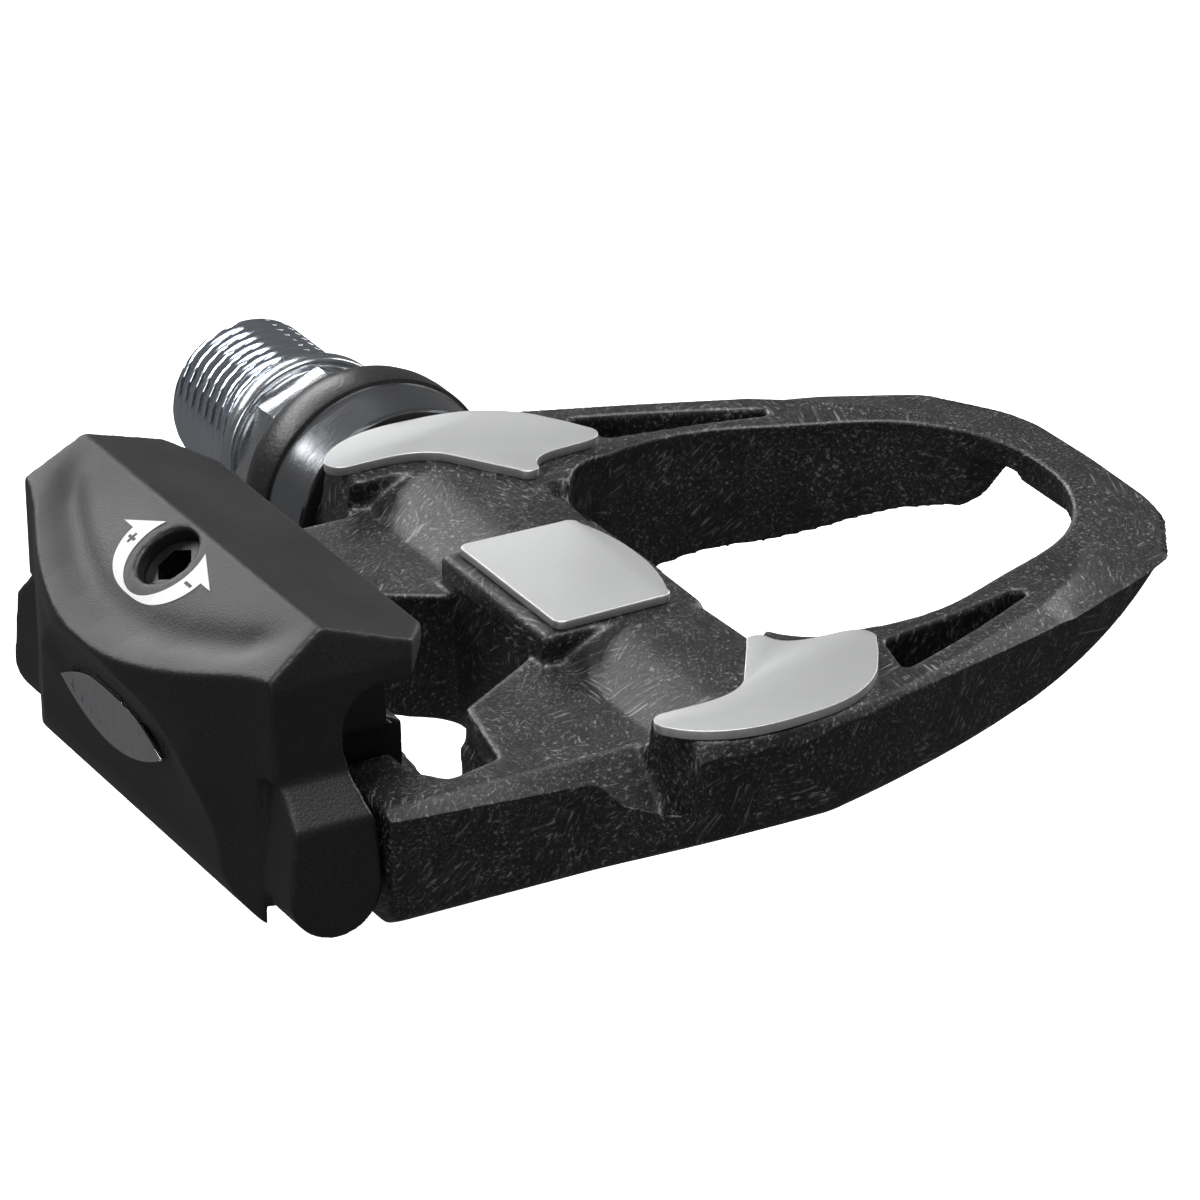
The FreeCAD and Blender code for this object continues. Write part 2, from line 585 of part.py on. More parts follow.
def make_rear_binding():
    body = new_body("rear_binding")
    claw = sketch(body, "claw", "XZ_Plane")
    trace(
        claw, (-34.5, 20.65),
        [(-24.25, 17.2)],
        [(-24.1, 16.0)],
        [(-24.6, 15.3)],
        [(-27.3, 15.2)],
        [(-27.3, 9.5)],
        [(-25.1, 8.2)],
        [(-25.1, 4.3)],
        [(-27.4, 3.9)],
        [about_pivot(5.5, -60)],
        [about_pivot(5.5, -120), about_pivot(5.5, 180)],
        [(-41.9, 4.9), (-43.4, 9.4), (-45.2, 13.83)])
    pad(body, claw, 2 * dim("claw_half_width"), both=True, expression="2 * dims.claw_half_width")

    # Rear of the claw in plan: a shallow arc between the two ends.
    stern = sketch(body, "stern", "XY_Plane")
    trace_both(
        stern, (-45.2, 0),
        [(-44.9, 4.5), (-43.9, 9.0), (-42.2, 14.0), (-40.4, 18.3), (-39.2, 23.0)],
        [(-39.2, 30.0)],
        [(-60.0, 30.0)],
        [(-60.0, 0)])
    pocket(body, stern, both=True)
    bow = sketch(body, "lip_corners", "XY_Plane")
    polygon(bow, [(-28.0, 23.0), (-24.0, 17.1), (-20.0, 17.1), (-20.0, 23.0)])
    mirrored(body, pocket(body, bow, both=True))
    crown = sketch(body, "end_bevels", "YZ_Plane")
    polygon(crown, [(20.9, 21.0), (22.3, 16.5), (24.0, 16.5), (24.0, 21.0)])
    mirrored(body, pocket(body, crown, both=True))

    # Open throat at each end, and nothing below the claw beside the spring housing.
    throat = sketch(body, "throat", "XZ_Plane", "-17.4 mm")
    trace(
        throat, (-20.0, 15.35),
        [(-29.4, 15.3)],
        [(-32.3, 14.4), (-33.4, 12.0)],
        [(-33.4, 10.2)],
        [(-32.4, 7.4)],
        [(-30.0, 3.0)],
        [(-30.0, -10.0)],
        [(-20.0, -10.0)])
    mirrored(body, pocket(body, throat, 12.0, reverse=False))
    slot = sketch(body, "lug_slot", "XZ_Plane", "-15.5 mm")
    room = dim("lug_radius") + 0.3
    trace(slot, about_pivot(room, 90), [about_pivot(room, 135), about_pivot(room, 180)],
          [(PIVOT[0] - room, -10.0)], [(-20.0, -10.0)], [(-20.0, 9.0)], [(-31.5, 9.0)],
          [(-33.6, 6.2)])
    mirrored(body, pocket(body, slot, 4.6, reverse=False))
    below = sketch(body, "beside_cheek", "XZ_Plane", "-20.1 mm")
    trace(below, (-50.0, 9.0), [(-33.2, 9.0)], [(-20.0, 9.0)], [(-20.0, -10.0)], [(-50.0, -10.0)])
    mirrored(body, pocket(body, below, 6.0, reverse=False))

    # Cheeks outside the lugs, rounded about the pin.
    cheek = sketch(body, "cheek", "XZ_Plane", "-20.1 mm")
    trace(cheek, (-39.0, 9.2), [(-39.2, 6.0)], [about_pivot(3.9, 180)],
          [about_pivot(3.9, -90), about_pivot(3.9, 0)], [(-32.2, 4.6)], [(-33.2, 9.2)])
    mirrored(body, pad(body, cheek, dim("cheek_outer") - 20.1, reverse=True,
                       expression="dims.cheek_outer - 20.1"))
    ledge = sketch(body, "cheek_ledge", "YZ_Plane")
    polygon(ledge, [(22.2, 9.2), (22.2, 9.0), (25.5, 5.8), (26.5, 5.8), (26.5, 9.2)])
    mirrored(body, pocket(body, ledge, both=True))

    # Spring housing, open below and in front for the springs' lower legs.
    cavity = sketch(body, "spring_cavity", "XZ_Plane")
    trace(
        cavity, about_pivot(COIL_ROOM, 122.5),
        [on_face(4.0, CAVITY_TOP_UP)],
        [on_face(11.05, CAVITY_TOP_UP)],
        [on_face(11.05, -1.3)],
        [(-20.0, 4.2)],
        [(-20.0, -10.0)],
        [(PIVOT[0] - 0.4, -10.0)],
        [(PIVOT[0] - 0.4, PIVOT[1] - COIL_ROOM)],
        [about_pivot(COIL_ROOM, 180), about_pivot(COIL_ROOM, 122.5)])
    pocket(body, cavity, 2 * CAVITY_HALF, both=True)

    # Below the shelf line only the housing remains between the two slots.
    bolt_hole = sketch(body, "bolt_hole", "XZ_Plane")
    head = dim("bolt_head_radius") + 0.15
    shank = dim("bolt_radius") + 0.1
    polygon(bolt_hole, [on_face(BOLT_ACROSS, FACE_UP + 2), on_face(BOLT_ACROSS + head, FACE_UP + 2),
                        on_face(BOLT_ACROSS + head, HEAD_SEAT_UP), on_face(BOLT_ACROSS + shank, HEAD_SEAT_UP),
                        on_face(BOLT_ACROSS + shank, CAVITY_TOP_UP - 1), on_face(BOLT_ACROSS, CAVITY_TOP_UP - 1)])
    axis = sk_axis(bolt_hole, on_face(BOLT_ACROSS, 0), on_face(BOLT_ACROSS, 20))
    before = body.Shape.Volume
    bore = body.newObject("PartDesign::Groove", "bolt_bore")
    bore.Profile = bolt_hole
    bore.ReferenceAxis = (bolt_hole, [axis])
    doc.recompute()
    if not body.Shape.Volume < before - 1e-3:
        raise RuntimeError("bolt bore cuts nothing")

    pin = sketch(body, "pin_hole", "XZ_Plane", "24 mm")
    circle(pin, PIVOT, dim("pin_radius") + dim("running_gap"), "dims.pin_radius + dims.running_gap")
    pocket(body, pin, 60.0, reverse=False)
    badge = sketch(body, "badge_recess", "YZ_Plane", "-42.3 mm")
    badge_outline(badge, 0.05)
    pocket(body, badge, 8.0, reverse=False)
    return body


def sk_axis(sk, start, end):
    """Construction line that a revolved cut turns about; returns its name."""
    sk.addGeometry(Part.LineSegment(V(start[0], start[1], 0), V(end[0], end[1], 0)), True)
    return "Axis0"


def badge_outline(sk, room=0.0):
    """Lens shape on the binding's back, grown all round by room."""
    wide, low, high = 9.0 + room, 4.0 - room, 8.8 + room
    middle = (low + high) / 2
    trace(sk, (-wide, middle), [(0, high), (wide, middle)], [(0, low), (-wide, middle)])


def make_badge():
    body = new_body("rear_badge")
    plate = sketch(body, "badge_plate", "YZ_Plane", "-42.3 mm")
    badge_outline(plate)
    pad(body, plate, 0.45, reverse=True)


def make_pivot_pin():
    body = new_body("pivot_pin")
    round_bar = sketch(body, "pin_round", "XZ_Plane", "23.6 mm")
    circle(round_bar, PIVOT, dim("pin_radius"), "dims.pin_radius")
    pad(body, round_bar, 47.2, reverse=True)


BUSH_RADIUS = 2.35
BUSH_LENGTH = 12.4


def make_spring_bushes():
    """Two plastic sleeves that keep the coils off the pin."""
    bushes = []
    for side in (1, -1):
        start = V(PIVOT[0], side * 1.0, PIVOT[1])
        ring = Part.makeCylinder(BUSH_RADIUS, BUSH_LENGTH, start, V(0, side, 0))
        bushes.append(ring.cut(Part.makeCylinder(dim("pin_radius"), BUSH_LENGTH, start, V(0, side, 0))))
    shape_part("spring_bushes", Part.makeCompound(bushes))


COIL_TURNS = 4 + 147.5 / 360
COIL_START = 12.2
COIL_PITCH = 1.75
LOWER_LEG = 11.5
UPPER_LEG = 10.4


def make_spring(label, side):
    """Torsion spring round the pin: lower leg under the cross-member, upper leg on the plate."""
    wire, coil = dim("wire_radius"), dim("coil_radius")
    height = COIL_TURNS * COIL_PITCH
    helix = Part.makeHelix(COIL_PITCH, height, coil)
    start = helix.Vertexes[0].Point
    heading = V(0, 2 * math.pi * coil, COIL_PITCH)
    section = Part.Wire(Part.makeCircle(wire, start, heading))
    solid = Part.Wire(helix).makePipeShell([section], True, True)
    # The helix is turned so that its axis lies along Y and it starts below the pin.
    solid.rotate(V(0, 0, 0), V(1, 0, 0), 90)
    solid.rotate(V(0, 0, 0), V(0, 1, 0), 90)
    solid.translate(V(PIVOT[0], COIL_START, PIVOT[1]))
    bottom = V(PIVOT[0], COIL_START, PIVOT[1] - coil)
    top_x, top_z = on_face(0, coil)
    top = V(top_x, COIL_START - height, top_z)
    legs = [Part.makeCylinder(wire, LOWER_LEG, bottom, V(1, 0, 0)),
            Part.makeCylinder(wire, UPPER_LEG, top, V(ACROSS[0], 0, ACROSS[1]))]
    knees = [Part.makeSphere(wire, point) for point in (bottom, top)]
    solid = solid.fuse(legs + knees).removeSplitter()
    if side < 0:
        solid = solid.mirror(V(0, 0, 0), V(0, 1, 0))
    shape_part(label, solid)


def place_on_bolt(obj, up):
    """Seat a piece drawn along +Z on the bolt's axis, at a height above the pivot."""
    x, z = on_face(BOLT_ACROSS, up)
    obj.Placement = FreeCAD.Placement(
        V(x, -dim("mid_offset"), z), FreeCAD.Rotation(V(0, 1, 0), -dim("face_angle")))


def make_tension_gear():
    """Tension bolt with its retaining ring, and the threaded plate that it draws up."""
    bolt = new_body("tension_bolt", on_platform=False)
    head = sketch(bolt, "bolt_head", "XY_Plane")
    circle(head, (0, 0), dim("bolt_head_radius"), "dims.bolt_head_radius")
    pad(bolt, head, HEAD_TOP_UP - HEAD_SEAT_UP)
    shank = sketch(bolt, "bolt_shank", "XY_Plane")
    circle(shank, (0, 0), dim("bolt_radius"), "dims.bolt_radius")
    pad(bolt, shank, HEAD_SEAT_UP + 0.9, reverse=True)
    key = sketch(bolt, "bolt_socket", "XY_Plane", "%g mm" % (HEAD_TOP_UP - HEAD_SEAT_UP))
    polygon(key, regular(6, 3.0))
    pocket(bolt, key, 2.4)
    place_on_bolt(bolt, HEAD_SEAT_UP + 0.05)

    ring = Part.makeCylinder(2.3, 0.6).cut(Part.makeCylinder(dim("bolt_radius"), 0.6))
    ring = ring.cut(Part.makeBox(4, 1.6, 0.6, V(0, -0.8, 0)))
    clip = shape_part("bolt_clip", ring)
    place_on_bolt(clip, CAVITY_TOP_UP - 0.8)

    plate = new_body("tension_plate", on_platform=False)
    low, high = PLATE_UP
    half = (PLATE_ACROSS[1] - PLATE_ACROSS[0]) / 2
    slab = sketch(plate, "plate_slab", "XY_Plane")
    polygon(slab, [(-half, -13.2), (half, -13.2), (half, 13.2), (-half, 13.2)])
    circle(slab, (0, 0), dim("bolt_radius") + dim("running_gap"), "dims.bolt_radius + dims.running_gap")
    pad(plate, slab, high - low)
    place_on_bolt(plate, low)


# ---------------------------------------------------------------- build and write

make_spindle()
make_lock_bolt()
make_bearing_races()
make_nuts()
make_rolling_elements()
make_pedal_body()
make_pads()
make_rear_binding()
make_badge()
make_pivot_pin()
make_spring_bushes()
make_spring("inner_spring", 1)
make_spring("outer_spring", -1)
make_tension_gear()
doc.recompute()

for obj in doc.Objects:
    if "Invalid" in obj.State or "Error" in obj.State:
        raise RuntimeError("%s is %s" % (obj.Name, obj.State))
os.makedirs("parts", exist_ok=True)
for obj in subparts:
    shape = obj.Shape
    if shape.isNull() or not shape.isValid():
        raise RuntimeError(obj.Label + " has a bad shape")
    shape.exportStep("parts/%s.step" % obj.Label)
    print("%-16s %d solid(s) %9.2f mm3" % (obj.Label, len(shape.Solids), shape.Volume))
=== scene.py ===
import json
import math

import bmesh
import bpy
from mathutils import Matrix, Vector

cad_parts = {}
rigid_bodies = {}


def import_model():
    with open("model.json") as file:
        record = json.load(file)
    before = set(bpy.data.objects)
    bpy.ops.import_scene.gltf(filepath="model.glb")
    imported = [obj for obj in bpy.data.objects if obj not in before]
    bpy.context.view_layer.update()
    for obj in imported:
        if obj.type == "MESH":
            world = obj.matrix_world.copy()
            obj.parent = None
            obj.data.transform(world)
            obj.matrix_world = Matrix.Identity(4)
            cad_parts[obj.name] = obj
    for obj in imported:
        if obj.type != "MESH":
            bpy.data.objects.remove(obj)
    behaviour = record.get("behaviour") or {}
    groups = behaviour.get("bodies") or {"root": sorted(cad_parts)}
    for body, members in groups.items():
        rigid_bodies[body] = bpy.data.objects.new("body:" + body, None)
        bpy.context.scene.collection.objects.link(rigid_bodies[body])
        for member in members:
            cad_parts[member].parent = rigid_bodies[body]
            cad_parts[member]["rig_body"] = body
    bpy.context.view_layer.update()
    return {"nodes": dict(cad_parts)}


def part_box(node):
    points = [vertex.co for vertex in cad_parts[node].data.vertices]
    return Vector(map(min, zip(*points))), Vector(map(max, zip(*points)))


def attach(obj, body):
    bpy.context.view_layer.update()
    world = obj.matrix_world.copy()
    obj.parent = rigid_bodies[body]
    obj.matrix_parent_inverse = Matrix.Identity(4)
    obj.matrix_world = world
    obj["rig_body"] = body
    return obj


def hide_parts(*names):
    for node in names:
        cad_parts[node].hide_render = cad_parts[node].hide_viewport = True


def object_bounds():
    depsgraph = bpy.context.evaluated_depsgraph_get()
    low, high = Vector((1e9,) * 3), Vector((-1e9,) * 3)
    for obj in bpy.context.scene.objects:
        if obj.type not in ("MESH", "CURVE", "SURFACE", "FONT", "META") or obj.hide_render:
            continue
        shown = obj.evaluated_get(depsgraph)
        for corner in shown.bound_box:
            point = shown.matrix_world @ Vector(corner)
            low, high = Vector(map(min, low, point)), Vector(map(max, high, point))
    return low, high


# Clipless road pedal. Metres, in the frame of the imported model: +X forward, +Y to the crank, +Z up.
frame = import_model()

MM = 0.001
MID_Y = -52.0                 # the pedal's mid-plane, mm
PIVOT = Vector((-35.8, MID_Y, 0.45))
FACE_ANGLE = math.radians(32.5)
ACROSS = Vector((math.cos(FACE_ANGLE), 0, math.sin(FACE_ANGLE)))
UP = Vector((-math.sin(FACE_ANGLE), 0, math.cos(FACE_ANGLE)))


# ------------------------------------------------------------------ node helpers

class Nodes:
    """Short way to write a material's node tree."""

    def __init__(self, name):
        self.material = bpy.data.materials.new(name)
        self.material.use_nodes = True
        self.tree = self.material.node_tree
        self.bsdf = self.tree.nodes["Principled BSDF"]
        self.place = self.add("ShaderNodeTexCoord").outputs["Object"]

    def add(self, kind, **values):
        node = self.tree.nodes.new(kind)
        for key, value in values.items():
            setattr(node, key, value)
        return node

    def link(self, a, b):
        self.tree.links.new(a, b)
        return b

    def noise(self, scale, detail=3.0, rough=0.5, vector=None, distortion=0.0):
        node = self.add("ShaderNodeTexNoise")
        node.inputs["Scale"].default_value = scale
        node.inputs["Detail"].default_value = detail
        node.inputs["Roughness"].default_value = rough
        node.inputs["Distortion"].default_value = distortion
        self.link(vector or self.place, node.inputs["Vector"])
        return node.outputs["Fac"]

    def stretched(self, scales, vector=None):
        node = self.add("ShaderNodeMapping")
        node.inputs["Scale"].default_value = scales
        self.link(vector or self.place, node.inputs["Vector"])
        return node.outputs["Vector"]

    def ramp(self, factor, *stops):
        node = self.add("ShaderNodeValToRGB")
        ramp = node.color_ramp
        while len(ramp.elements) < len(stops):
            ramp.elements.new(0.5)
        for element, (place, colour) in zip(ramp.elements, stops):
            element.position = place
            if not isinstance(colour, (tuple, list)):
                colour = (colour, colour, colour)
            element.color = (*colour, 1)
        self.link(factor, node.inputs["Fac"])
        return node.outputs["Color"]

    def math(self, operation, a, b):
        node = self.add("ShaderNodeMath", operation=operation)
        for value, socket in ((a, node.inputs[0]), (b, node.inputs[1])):
            if isinstance(value, (int, float)):
                socket.default_value = value
            else:
                self.link(value, socket)
        return node.outputs["Value"]

    def mix(self, factor, a, b, blend="MIX"):
        node = self.add("ShaderNodeMix", data_type="RGBA", blend_type=blend)
        for value, socket in ((factor, node.inputs[0]), (a, node.inputs[6]), (b, node.inputs[7])):
            if isinstance(value, (int, float)):
                socket.default_value = value if socket == node.inputs[0] else (value, value, value, 1)
            elif isinstance(value, tuple):
                socket.default_value = (*value, 1)
            else:
                self.link(value, socket)
        return node.outputs[2]

    def bump(self, height, distance, strength=1.0, under=None):
        node = self.add("ShaderNodeBump")
        node.inputs["Distance"].default_value = distance
        node.inputs["Strength"].default_value = strength
        self.link(height, node.inputs["Height"])
        if under:
            self.link(under, node.inputs["Normal"])
        return node.outputs["Normal"]

    def finish(self, colour, rough, normal=None, **values):
        self.link(colour, self.bsdf.inputs["Base Color"])
        self.link(rough, self.bsdf.inputs["Roughness"])
        if normal:
            self.link(normal, self.bsdf.inputs["Normal"])
        for key, value in values.items():
            self.bsdf.inputs[key.replace("_", " ")].default_value = value
        return self.material


def fibre_layer(n, cells, along, across, seed):
    """Short straight strands that change direction from patch to patch."""
    shifted = n.add("ShaderNodeMapping")
    shifted.inputs["Location"].default_value = (seed, seed * 0.7, seed * 1.3)
    n.link(n.place, shifted.inputs["Vector"])
    patch = n.add("ShaderNodeTexVoronoi", feature="F1")
    patch.inputs["Scale"].default_value = cells
    n.link(shifted.outputs["Vector"], patch.inputs["Vector"])
    turn = n.add("ShaderNodeVectorRotate", rotation_type="EULER_XYZ")
    spin = n.add("ShaderNodeVectorMath", operation="MULTIPLY")
    spin.inputs[1].default_value = (1.2, 1.2, 6.283)
    n.link(patch.outputs["Color"], spin.inputs[0])
    n.link(shifted.outputs["Vector"], turn.inputs["Vector"])
    n.link(spin.outputs["Vector"], turn.inputs["Rotation"])
    return n.noise(1.0, 2.0, 0.6, n.stretched((along, across, across), turn.outputs["Vector"]))


def composite():
    n = Nodes("chopped_fibre_composite")
    first = fibre_layer(n, 210, 150, 3400, 0.013)
    second = fibre_layer(n, 330, 260, 5200, 0.041)
    strands = n.math("MAXIMUM", first, n.math("MULTIPLY", second, 0.96))
    tone = n.ramp(strands, (0.47, 0.006), (0.60, 0.030), (0.71, 0.20))
    patches = n.ramp(n.noise(260, 2.0, 0.5), (0.3, 0.55), (0.7, 1.25))
    colour = n.mix(1.0, tone, patches, "MULTIPLY")
    worn = n.noise(900, 4.0, 0.6)
    rough = n.ramp(n.math("ADD", n.math("MULTIPLY", strands, 0.6), n.math("MULTIPLY", worn, 0.4)),
                   (0.35, 0.50), (0.65, 0.33))
    skin = n.bump(strands, 0.00005, 0.45)
    skin = n.bump(n.noise(2600, 3.0, 0.6), 0.00004, 0.5, skin)
    return n.finish(colour, rough, skin, IOR=1.5)


def grained_black(name, base=0.016, rough=0.5, grain=5200):
    n = Nodes(name)
    fine = n.noise(grain, 2.0, 0.55)
    slow = n.noise(120, 3.0, 0.5)
    tone = n.ramp(fine, (0.35, base * 0.7), (0.62, base * 1.25), (0.74, base * 2.6))
    colour = n.mix(1.0, tone, n.ramp(slow, (0.3, 0.85), (0.7, 1.15)), "MULTIPLY")
    roughness = n.ramp(n.math("ADD", n.math("MULTIPLY", fine, 0.5), n.math("MULTIPLY", slow, 0.5)),
                       (0.3, rough - 0.07), (0.7, rough + 0.07))
    return n.finish(colour, roughness, n.bump(fine, 0.00006, 0.55))


def steel(name, tone=(0.56, 0.565, 0.57), rough=0.3, grain=2500, stretch=(1, 1, 1), depth=0.00002,
          metallic=1.0, spread=0.06):
    n = Nodes(name)
    fine = n.noise(grain, 3.0, 0.6, n.stretched(stretch))
    slow = n.noise(160, 3.0, 0.5)
    low = tuple(c * 0.86 for c in tone)
    high = tuple(min(1.0, c * 1.12) for c in tone)
    colour = n.mix(n.math("ADD", n.math("MULTIPLY", fine, 0.65), n.math("MULTIPLY", slow, 0.35)), low, high)
    roughness = n.ramp(fine, (0.3, rough - spread), (0.7, rough + spread))
    return n.finish(colour, roughness, n.bump(fine, depth, 0.5), Metallic=metallic)


def plastic(name, tone, rough=0.45):
    n = Nodes(name)
    fine = n.noise(1800, 3.0, 0.5)
    low = tuple(c * 0.9 for c in tone)
    high = tuple(min(1.0, c * 1.08) for c in tone)
    return n.finish(n.mix(fine, low, high), n.ramp(fine, (0.3, rough - 0.05), (0.7, rough + 0.05)),
                    n.bump(fine, 0.00003, 0.3))


COMPOSITE = composite()
BINDING = grained_black("grained_black_moulding", 0.011, 0.46)
SLEEVE = grained_black("black_anodised_sleeve", 0.012, 0.34, 3000)
POLISHED = steel("polished_black_waist", (0.34, 0.35, 0.37), 0.22, 1500, (0.4, 3, 0.4), spread=0.03)
PAD = steel("blasted_pad_steel", (0.60, 0.605, 0.61), 0.46, 5200, depth=0.00002, metallic=0.75)
AXLE = steel("axle_steel", (0.62, 0.64, 0.67), 0.24, 1500, (0.4, 3, 0.4))
THREAD = steel("polished_thread", (0.74, 0.79, 0.86), 0.14, 1200, (0.3, 4, 0.3), spread=0.04)
BRIGHT = steel("ground_bearing_steel", (0.70, 0.71, 0.73), 0.12, 2000, spread=0.03)
ZINC = steel("zinc_plated_steel", (0.50, 0.51, 0.54), 0.32, 1500)
SPRING = steel("oiled_spring_steel", (0.20, 0.20, 0.21), 0.30, 1800, (1, 4, 1))
CHROME = steel("badge_chrome", (0.66, 0.67, 0.69), 0.16, 1600, spread=0.03)
BLACK_OXIDE = steel("black_oxide_steel", (0.07, 0.07, 0.075), 0.38, 2600)
NYLON = plastic("moulded_nylon", (0.62, 0.58, 0.47))
RUBBER = grained_black("seal_rubber", 0.014, 0.62, 3500)
WHITE = plastic("white_print", (0.80, 0.80, 0.80), 0.5)

NODE_FINISH = {
    "cone_nut": ZINC, "lock_nut": ZINC, "inner_balls": BRIGHT, "outer_balls": BRIGHT,
    "needle_rollers": BRIGHT, "needle_cage": NYLON, "lock_bolt": SLEEVE, "bearing_tube": BRIGHT,
    "inner_cup": BRIGHT, "outer_cup": BRIGHT, "dust_seal": RUBBER, "pivot_pin": ZINC,
    "spring_bushes": NYLON, "inner_spring": SPRING, "outer_spring": SPRING, "bolt_clip": SPRING,
    "tension_bolt": BLACK_OXIDE, "tension_plate": ZINC}


def paint(obj, material):
    obj.data.materials.clear()
    obj.data.materials.append(material)


for node_name, finish in NODE_FINISH.items():
    node = frame["nodes"][node_name]
    paint(node, finish)
    for polygon in node.data.polygons:
        polygon.material_index = 0


# ------------------------------------------------------------------ mesh helpers

def make_object(name, mesh, material, body, replaced=()):
    obj = bpy.data.objects.new(name, mesh)
    bpy.context.scene.collection.objects.link(obj)
    paint(obj, material)
    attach(obj, body)
    if replaced:
        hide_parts(*replaced)
    return obj


def remoulded(node_name, voxel, rounds):
    """The node's solid in fine even quads with its edges rounded as a moulding's are."""
    source = frame["nodes"][node_name].data.copy()
    source.transform(Matrix.Scale(1 / MM, 4))
    work = bpy.data.objects.new("work_" + node_name, source)
    bpy.context.scene.collection.objects.link(work)
    remesh = work.modifiers.new("even", "REMESH")
    remesh.mode = "VOXEL"
    remesh.voxel_size = voxel
    remesh.adaptivity = 0.0
    soft = work.modifiers.new("soft", "SMOOTH")
    soft.factor = 0.5
    soft.iterations = rounds
    depsgraph = bpy.context.evaluated_depsgraph_get()
    mesh = bpy.data.meshes.new_from_object(work.evaluated_get(depsgraph))
    bpy.data.objects.remove(work)
    return mesh


def mesh_arrays(mesh):
    """Every vertex's place and normal, as lists that can be changed."""
    places = [0.0] * (3 * len(mesh.vertices))
    normals = [0.0] * (3 * len(mesh.vertices))
    mesh.vertices.foreach_get("co", places)
    mesh.vertices.foreach_get("normal", normals)
    split = range(0, len(places), 3)
    return [places[k:k + 3] for k in split], [normals[k:k + 3] for k in split]


def put_places(mesh, places):
    mesh.vertices.foreach_set("co", [value for place in places for value in place])
    mesh.update()


def softened(mesh, rounds, below=None):
    """The mesh after so many rounds of smoothing, only under a height in mm when one is given."""
    work = bpy.data.objects.new("work_soft", mesh)
    bpy.context.scene.collection.objects.link(work)
    soft = work.modifiers.new("soft", "SMOOTH")
    soft.factor = 0.5
    soft.iterations = rounds
    if below is not None:
        group = work.vertex_groups.new(name="low")
        group.add([v.index for v in mesh.vertices if v.co.z < below], 1.0, "REPLACE")
        soft.vertex_group = "low"
    depsgraph = bpy.context.evaluated_depsgraph_get()
    result = bpy.data.meshes.new_from_object(work.evaluated_get(depsgraph))
    bpy.data.objects.remove(work)
    return result


def between(x, *points):
    """Straight-line interpolation through (x, value) points in rising order of x."""
    if x <= points[0][0]:
        return points[0][1]
    for (x0, v0), (x1, v1) in zip(points, points[1:]):
        if x <= x1:
            return v0 + (v1 - v0) * (x - x0) / (x1 - x0)
    return points[-1][1]


def ease(t):
    t = min(1.0, max(0.0, t))
    return t * t * (3 - 2 * t)


def side_of(point, line):
    """Distance to a plan polyline, positive on its left."""
    best = 1e9
    for (x0, y0), (x1, y1) in zip(line, line[1:]):
        dx, dy = x1 - x0, y1 - y0
        t = ((point[0] - x0) * dx + (point[1] - y0) * dy) / (dx * dx + dy * dy)
        t = min(1.0, max(0.0, t))
        ex, ey = point[0] - x0 - t * dx, point[1] - y0 - t * dy
        far = math.hypot(ex, ey)
        if far < abs(best):
            best = far if dx * ey - dy * ex > 0 else -far
    return best


def settle(mesh, smooth=True):
    """Back to metres, with smooth shading."""
    mesh.transform(Matrix.Scale(MM, 4))
    for polygon in mesh.polygons:
        polygon.use_smooth = smooth
    mesh.update()
    return mesh


def bevelled(name, node_name, width, material, segments=3):
    """The node's solid with its sharp edges broken."""
    bm = bmesh.new()
    bm.from_mesh(frame["nodes"][node_name].data)
    bmesh.ops.remove_doubles(bm, verts=bm.verts, dist=1e-6)
    bmesh.ops.dissolve_limit(bm, angle_limit=math.radians(2), verts=bm.verts, edges=bm.edges)
    mesh = bpy.data.meshes.new(name)
    bm.to_mesh(mesh)
    bm.free()
    body = frame["nodes"][node_name]["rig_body"]
    obj = make_object(name, mesh, material, body, [node_name])
    bevel = obj.modifiers.new("edges", "BEVEL")
    bevel.width = width
    bevel.segments = segments
    bevel.limit_method = "ANGLE"
    bevel.angle_limit = math.radians(35)
    bevel.harden_normals = True
    for polygon in mesh.polygons:
        polygon.use_smooth = True
    return obj


def lathe(rings, count=96, hollow=False):
    """Watertight solid about Y. Each ring is (y, radius) in mm; a radius may be a function of the angle."""
    mesh = bpy.data.meshes.new("turned")
    bm = bmesh.new()
    loops = []
    for y, radius in rings:
        loop = []
        for k in range(count):
            angle = 2 * math.pi * k / count
            r = radius(angle) if callable(radius) else radius
            station = y(angle) if callable(y) else y
            loop.append(bm.verts.new((r * math.cos(angle), station, r * math.sin(angle))))
        loops.append(loop)
    for a, b in zip(loops, loops[1:]):
        for k in range(count):
            bm.faces.new((a[k], a[(k + 1) % count], b[(k + 1) % count], b[k]))
    if hollow:
        for k in range(count):
            m = (k + 1) % count
            bm.faces.new((loops[-1][k], loops[-1][m], loops[0][m], loops[0][k]))
    else:
        bm.faces.new(list(reversed(loops[0])))
        bm.faces.new(loops[-1])
    bmesh.ops.recalc_face_normals(bm, faces=bm.faces)
    bm.to_mesh(mesh)
    bm.free()
    return mesh


def flats(sides, across):
    """Radius, at an angle, of a regular polygon with that width across its flats."""
    def radius(angle):
        step = 2 * math.pi / sides
        local = (angle % step) - step / 2
        return across / 2 / math.cos(local)
    return radius


# ------------------------------------------------------------------ axle

THREAD_R = 7.144
PITCH = 1.27
THREAD_DEPTH = 0.78
THREAD_START = 0.35           # beside the shoulder, mm
THREAD_END = 12.5
RINGS_PER_PITCH = 24


def thread_ring(y):
    """One ring of the right-hand thread; the grooves fade out at the shoulder."""
    def radius(angle):
        turn = 2 * math.pi * y / PITCH + angle
        groove = min(1.0, 0.58 + 0.58 * math.cos(turn))
        fade = min(1.0, max(0.0, (y - THREAD_START) / 0.9))
        limit = THREAD_R - max(0.0, y - (THREAD_END - 0.95))
        return min(limit, THREAD_R - THREAD_DEPTH * (1 - groove) * fade)
    return radius


